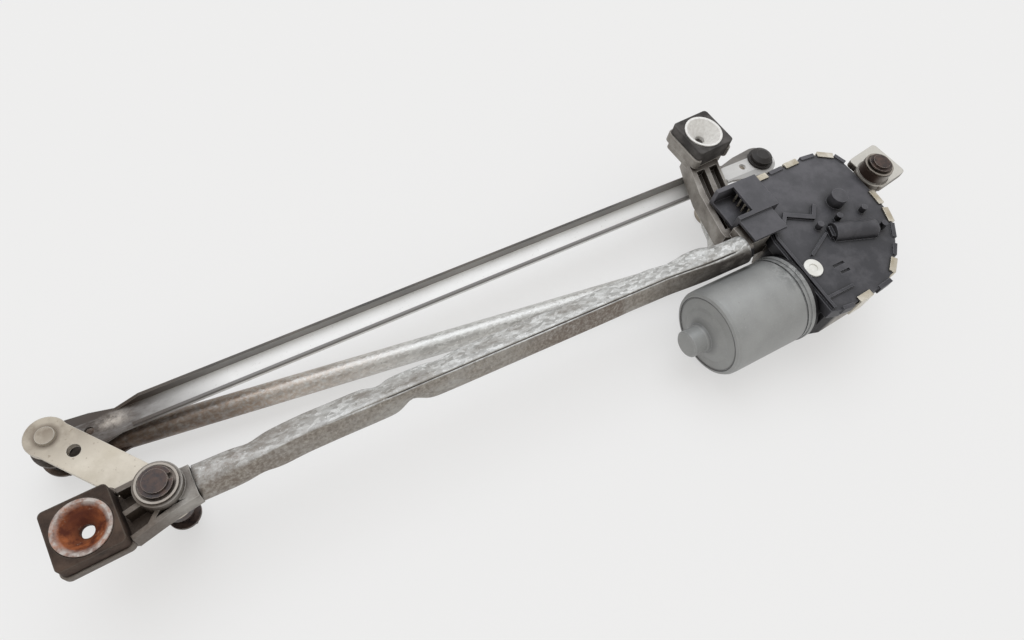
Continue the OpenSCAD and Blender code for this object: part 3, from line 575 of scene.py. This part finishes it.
# Cover clips and terminals: stamped strip of tinned brass. The clips are folded over
# the cover's rim and hold it to the housing; the terminals stand in the connector.
strip = Finish("clip_brass", metallic=0.85)
strip_edge = strip.edges(0.0003)
strip_speck = strip.noise(90, 4)
strip_tone = strip.blend(strip.ramp(strip_speck, 0.35, 0.7), rgb(188, 179, 160), rgb(220, 215, 204))
strip_tone = strip.blend(strip_edge, strip_tone, rgb(240, 236, 222))
strip.bump(strip_speck, 0.0001, 0.3)
dress(strip.done(strip_tone, strip.ramp(strip_speck, 0.3, 0.7, 0.22, 0.4)),
      "cover_clips", "terminal_pins")

# White plastic: the small plug pressed into the cover and the hidden worm wheel,
# both moulded in natural nylon and a little cloudy.
nylon = Finish("white_plastic", specular=0.4)
nylon_edge = nylon.edges(0.0005)
nylon_cloud = nylon.noise(120, 5)
nylon_tone = nylon.blend(nylon.ramp(nylon_cloud, 0.35, 0.7), rgb(222, 221, 214), rgb(240, 240, 236))
nylon_tone = nylon.blend(nylon_edge, nylon_tone, rgb(248, 248, 245))
nylon.bump(nylon_cloud, 0.0001, 0.3)
dress(nylon.done(nylon_tone, nylon.ramp(nylon_cloud, 0.3, 0.7, 0.4, 0.55)),
      "cover_plug", "worm_wheel")

# Bushes: oil-soaked sintered bronze, pressed into the castings
# where the spindles, the output shaft and the armature turn.
bronze = Finish("sintered_bronze", metallic=0.7)
bronze_grain = bronze.noise(900, 4)
bronze.edges(0.0004)
bronze.bump(bronze_grain, 0.0001, 0.5)
bronze_tone = bronze.blend(bronze_grain, rgb(128, 102, 64), rgb(186, 154, 104))
dress(bronze.done(bronze_tone, bronze.ramp(bronze_grain, 0.3, 0.7, 0.4, 0.6)),
      "left_bush", "right_bush", "output_bush", "armature_bush")

# Spindles, clips and nuts: dark oiled steel, with brown rust bloom and bright rubbed edges.
# The spindles are turned, the clips snap into their grooves and the nuts hold the wiper arms.
oiled = Finish("dark_steel", metallic=0.5)
oiled_edge = oiled.edges(0.0005)
oiled_rust = oiled.noise(180, 7, 0.7)
oiled_tone = oiled.blend(oiled.ramp(oiled_rust, 0.4, 0.68), rgb(48, 43, 44), rgb(92, 74, 66))
oiled_tone = oiled.blend(oiled_edge, oiled_tone, rgb(170, 160, 152))
oiled.bump(oiled_rust, 0.0002, 0.5)
dress(oiled.done(oiled_tone, oiled.ramp(oiled_rust, 0.3, 0.7, 0.3, 0.55)),
      "left_spindle", "right_spindle", "left_nut", "right_nut", "left_clip", "right_clip")

# Turned steel: output shaft, crank ball, armature shaft and right ball pin,
# ground bright and kept under a film of oil.
turned = Finish("turned_steel", metallic=0.75)
turned_edge = turned.edges(0.0004)
turned_cloud = turned.noise(140, 6)
turned_tone = turned.blend(
    turned.ramp(turned_cloud, 0.35, 0.7), rgb(168, 164, 158), rgb(206, 204, 200))
turned_tone = turned.blend(turned_edge, turned_tone, rgb(232, 231, 228))
turned.bump(turned_cloud, 0.0001, 0.3)
dress(turned.done(turned_tone, turned.ramp(turned_cloud, 0.3, 0.7, 0.25, 0.45)),
      "output_shaft", "crank_ball", "armature_shaft", "right_ball_pin")

# Thrust washers: dished steel rings under the spindle clips, which take up the end play.
# They are dark with grease, and their rims are rubbed bright.
ring = Finish("washer_steel", metallic=0.6)
ring_edge = ring.edges(0.0004)
ring_cloud = ring.noise(220, 6)
ring_tone = ring.blend(ring.ramp(ring_cloud, 0.4, 0.65), rgb(66, 58, 52), rgb(112, 102, 94))
ring_tone = ring.blend(ring_edge, ring_tone, rgb(176, 170, 162))
ring_tone = ring.blend(
    ring.ramp(ring.along("Z", 0.0662, 0.0665), 0.0, 1.0, 0.0, 0.55), ring_tone, rgb(186, 178, 168))
ring.bump(ring_cloud, 0.0001, 0.4)
dress(ring.done(ring_tone, ring.ramp(ring_cloud, 0.3, 0.7, 0.3, 0.5)),
      "left_washer", "right_washer")

# Levers and crank: blanked 4 mm steel plate, zinc plated and pressed onto the spindles.
# The plating has gone cream, stained at the pivots and round the riveted left ball pin, with painted
# shade in its corners and where it meets other parts.
plate = Finish("zinc_plate", metallic=0.2, specular=0.35)
plate_edge = plate.edges(0.0006)
plate_cloud = plate.noise(48, 7, 0.65)
plate_speck = plate.noise(500, 4)
plate_tone = plate.blend(
    plate.ramp(plate_cloud, 0.38, 0.62), rgb(193, 184, 168), rgb(215, 207, 193))
plate_tone = plate.blend(plate.ramp(plate_speck, 0.63, 0.75), plate_tone, rgb(130, 112, 92))
# Painted shade: ambient occlusion darkens corners and where the plate meets other parts.
plate_tone = plate.blend(plate.corner_shade_and_dirt(0.01), plate_tone, rgb(74, 64, 56))
plate_rivet = plate.around((-0.0444, 0.0592, 0.0), (1.0, 1.0, 0.0))
plate_ring = plate.times(
    plate.ramp(plate_rivet, 0.0053, 0.0056), plate.ramp(plate_rivet, 0.0078, 0.0058, 0.0, 0.75))
plate_tone = plate.blend(plate_ring, plate_tone, rgb(92, 80, 68))
plate_worn = plate.times(
    plate.along("Y", 0.036, 0.062), plate.ramp(plate_cloud, 0.38, 0.58, 0.3, 0.95))
plate_tone = plate.blend(plate_worn, plate_tone, rgb(132, 120, 106))
plate_tone = plate.blend(plate_edge, plate_tone, rgb(214, 211, 203))
plate.bump(plate_speck, 0.00012, 0.3)
dress(plate.done(plate_tone, plate.ramp(plate_cloud, 0.3, 0.7, 0.35, 0.55)),
      "left_lever", "right_lever", "crank_arm", "left_ball_pin")

# Channel link: pressed steel U strip with flat spoon ends that hold the ball sockets.
# Its zinc is pale inside, dark along the far flange and greasy brown at the left end, with a painted
# highlight on the left spoon.
channel = Finish("channel_zinc", metallic=0.1)
channel_edge = channel.edges(0.0005)
channel_cloud = channel.noise(45, 6, 0.65, channel.stretched(0.4, 1.0, 1.0))
channel_speck = channel.noise(600, 4)
channel_tone = channel.blend(
    channel.ramp(channel_cloud, 0.38, 0.64), rgb(228, 227, 225), rgb(243, 243, 242))
channel_tone = channel.blend(
    channel.ramp(channel_speck, 0.62, 0.74, 0.0, 0.4), channel_tone, rgb(150, 143, 134))
channel_near = channel.times(channel.along("Y", 0.0536, 0.0532), channel.along("Z", 0.0285, 0.0295))
channel_tone = channel.blend(channel_near, channel_tone, rgb(120, 118, 116))
channel_far = channel.along("Y", 0.0646, 0.0650)
channel_far_tone = channel.blend(
    channel.ramp(channel_cloud, 0.4, 0.62), rgb(56, 52, 49), rgb(96, 90, 84))
channel_tone = channel.blend(channel_far, channel_tone, channel_far_tone)
channel_right = channel.times(
    channel.along("X", 0.28, 0.40), channel.ramp(channel_cloud, 0.3, 0.6, 0.1, 0.5))
channel_tone = channel.blend(channel_right, channel_tone, rgb(150, 147, 143))
channel_left = channel.times(
    channel.along("X", 0.05, -0.005), channel.ramp(channel_cloud, 0.3, 0.55, 0.55, 1.0))
channel_tone = channel.blend(channel_left, channel_tone, rgb(64, 53, 45))
# Painted highlight: a bright patch on the left spoon, broken up by noise.
channel_highlight = channel.around((-0.0150, 0.0600, 0.0), (0.45, 1.0, 0.0))
channel_highlight = channel.times(
    channel.ramp(channel_highlight, 0.0060, 0.0005),
    channel.ramp(channel.noise(150, 6, 0.7), 0.42, 0.6, 0.1, 0.8))
channel_tone = channel.blend(channel_highlight, channel_tone, rgb(206, 197, 187))
channel_tone = channel.blend(
    channel.ramp(channel_edge, 0.0, 1.0, 0.0, 0.6), channel_tone, rgb(140, 134, 127))
channel.bump(channel_speck, 0.00012, 0.3)
dress(channel.done(channel_tone, channel.ramp(channel_cloud, 0.3, 0.7, 0.38, 0.6)), "channel_link")

# Tube link: galvanised steel tube with its ends pressed flat into eyes for the sockets.
# The zinc is bright and spangled, and the left end is brown with old grease.
rod = Finish("tube_link_zinc", metallic=0.7)
rod_edge = rod.edges(0.0006)
rod_spangle = rod.cells(800, rod.stretched(0.5, 1.0, 1.0))
rod_cloud = rod.noise(42, 6, 0.65, rod.stretched(0.5, 1.0, 1.0))
rod_speck = rod.noise(450, 4)
rod_tone = rod.blend(rod_spangle, rgb(182, 181, 178), rgb(214, 214, 211))
rod_tone = rod.blend(rod.ramp(rod_cloud, 0.54, 0.74, 0.0, 0.6), rod_tone, rgb(150, 142, 132))
rod_tone = rod.blend(rod.ramp(rod_speck, 0.62, 0.74), rod_tone, rgb(236, 236, 234))
rod_left = rod.along("X", 0.09, -0.01)
rod_grease = rod.add("ShaderNodeMath", operation="MULTIPLY_ADD", use_clamp=True)
rod.link(rod_left, rod_grease.inputs[0])
rod_grease.inputs[1].default_value = 0.9
rod.link(rod.ramp(rod_cloud, 0.4, 0.7, -0.2, 0.3), rod_grease.inputs[2])
rod_tone = rod.blend(rod.ramp(rod_edge, 0.0, 1.0, 0.0, 0.5), rod_tone, rgb(206, 205, 202))
rod_warm = rod.times(rod.along("X", 0.16, 0.05), rod.ramp(rod_speck, 0.35, 0.6, 0.15, 0.7))
rod_tone = rod.blend(rod_warm, rod_tone, rgb(160, 132, 106))
rod_tone = rod.blend(rod_grease.outputs["Value"], rod_tone, rgb(58, 42, 32))
rod.bump(rod_speck, 0.0004, 0.7)
dress(rod.done(rod_tone, rod.ramp(rod_spangle, 0.0, 1.0, 0.32, 0.5)), "tube_link")

# Tube link necks: where the press has flattened the tube's ends into the eyes, the wall
# runs from round to flat over about 20 mm; they are the same galvanised tube.
eye_wide, eye_thick, link_height = 0.0098, 0.0013, 0.0135
begin, steps, sides = 0.0125, 18, 36
for name, eye, far, last, radius in (
        ("tube_link_neck_left", (-0.0444, 0.0592), (0.3800, 0.0048), 0.0320, 0.00704),
        ("tube_link_neck_right", (0.4076, 0.0462), (0.3800, 0.0048), 0.0320, 0.00684)):
    start = Vector((eye[0], eye[1], link_height))
    run = (Vector((far[0], far[1], link_height)) - start).normalized()
    side = Vector((0.0, 0.0, 1.0)).cross(run)
    neck = bmesh.new()
    rings = []
    for k in range(steps + 1):
        place = begin + (last - begin) * k / steps
        part = smooth(place, 0.0110, last - 0.0025)
        half_wide = eye_wide + part * (radius - eye_wide)
        half_thick = eye_thick + part * (radius - eye_thick)
        ring_verts = []
        for m in range(sides):
            turn = math.radians(m * 360 / sides)
            cos, sin = math.cos(turn), math.sin(turn)
            fold = 1.0 - 0.12 * (1.0 - part) * part * 4.0 * max(0.0, sin) ** 6
            ring_verts.append(neck.verts.new(
                start + run * place + side * (half_wide * cos)
                + Vector((0.0, 0.0, half_thick * sin * fold))))
        rings.append(ring_verts)
    for first, second in zip(rings, rings[1:]):
        for m in range(sides):
            n = (m + 1) % sides
            neck.faces.new((first[m], first[n], second[n], second[m])).smooth = True
    neck.faces.new(rings[0])
    neck.faces.new(rings[-1][::-1])
    bmesh.ops.recalc_face_normals(neck, faces=neck.faces)
    neck_data = bpy.data.meshes.new(name)
    neck.to_mesh(neck_data)
    neck.free()
    neck_data.materials.append(rod.material)
    neck_piece = bpy.data.objects.new(name, neck_data)
    bpy.context.scene.collection.objects.link(neck_piece)
    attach(neck_piece, "tube_rod")

# Ball sockets: black nylon shells snapped into the link eyes and over the balls,
# matt and greasy.
shell = Finish("socket_plastic", specular=0.4)
shell_edge = shell.edges(0.0006)
shell_grain = shell.noise(900, 4)
shell_tone = shell.blend(shell_grain, rgb(30, 28, 28), rgb(52, 48, 46))
shell_tone = shell.blend(shell_edge, shell_tone, rgb(82, 78, 76))
shell.bump(shell_grain, 0.00012, 0.4)
dress(shell.done(shell_tone, shell.ramp(shell_grain, 0.3, 0.7, 0.4, 0.6)),
      "channel_socket_left", "channel_socket_right", "tube_socket_left", "tube_socket_right")
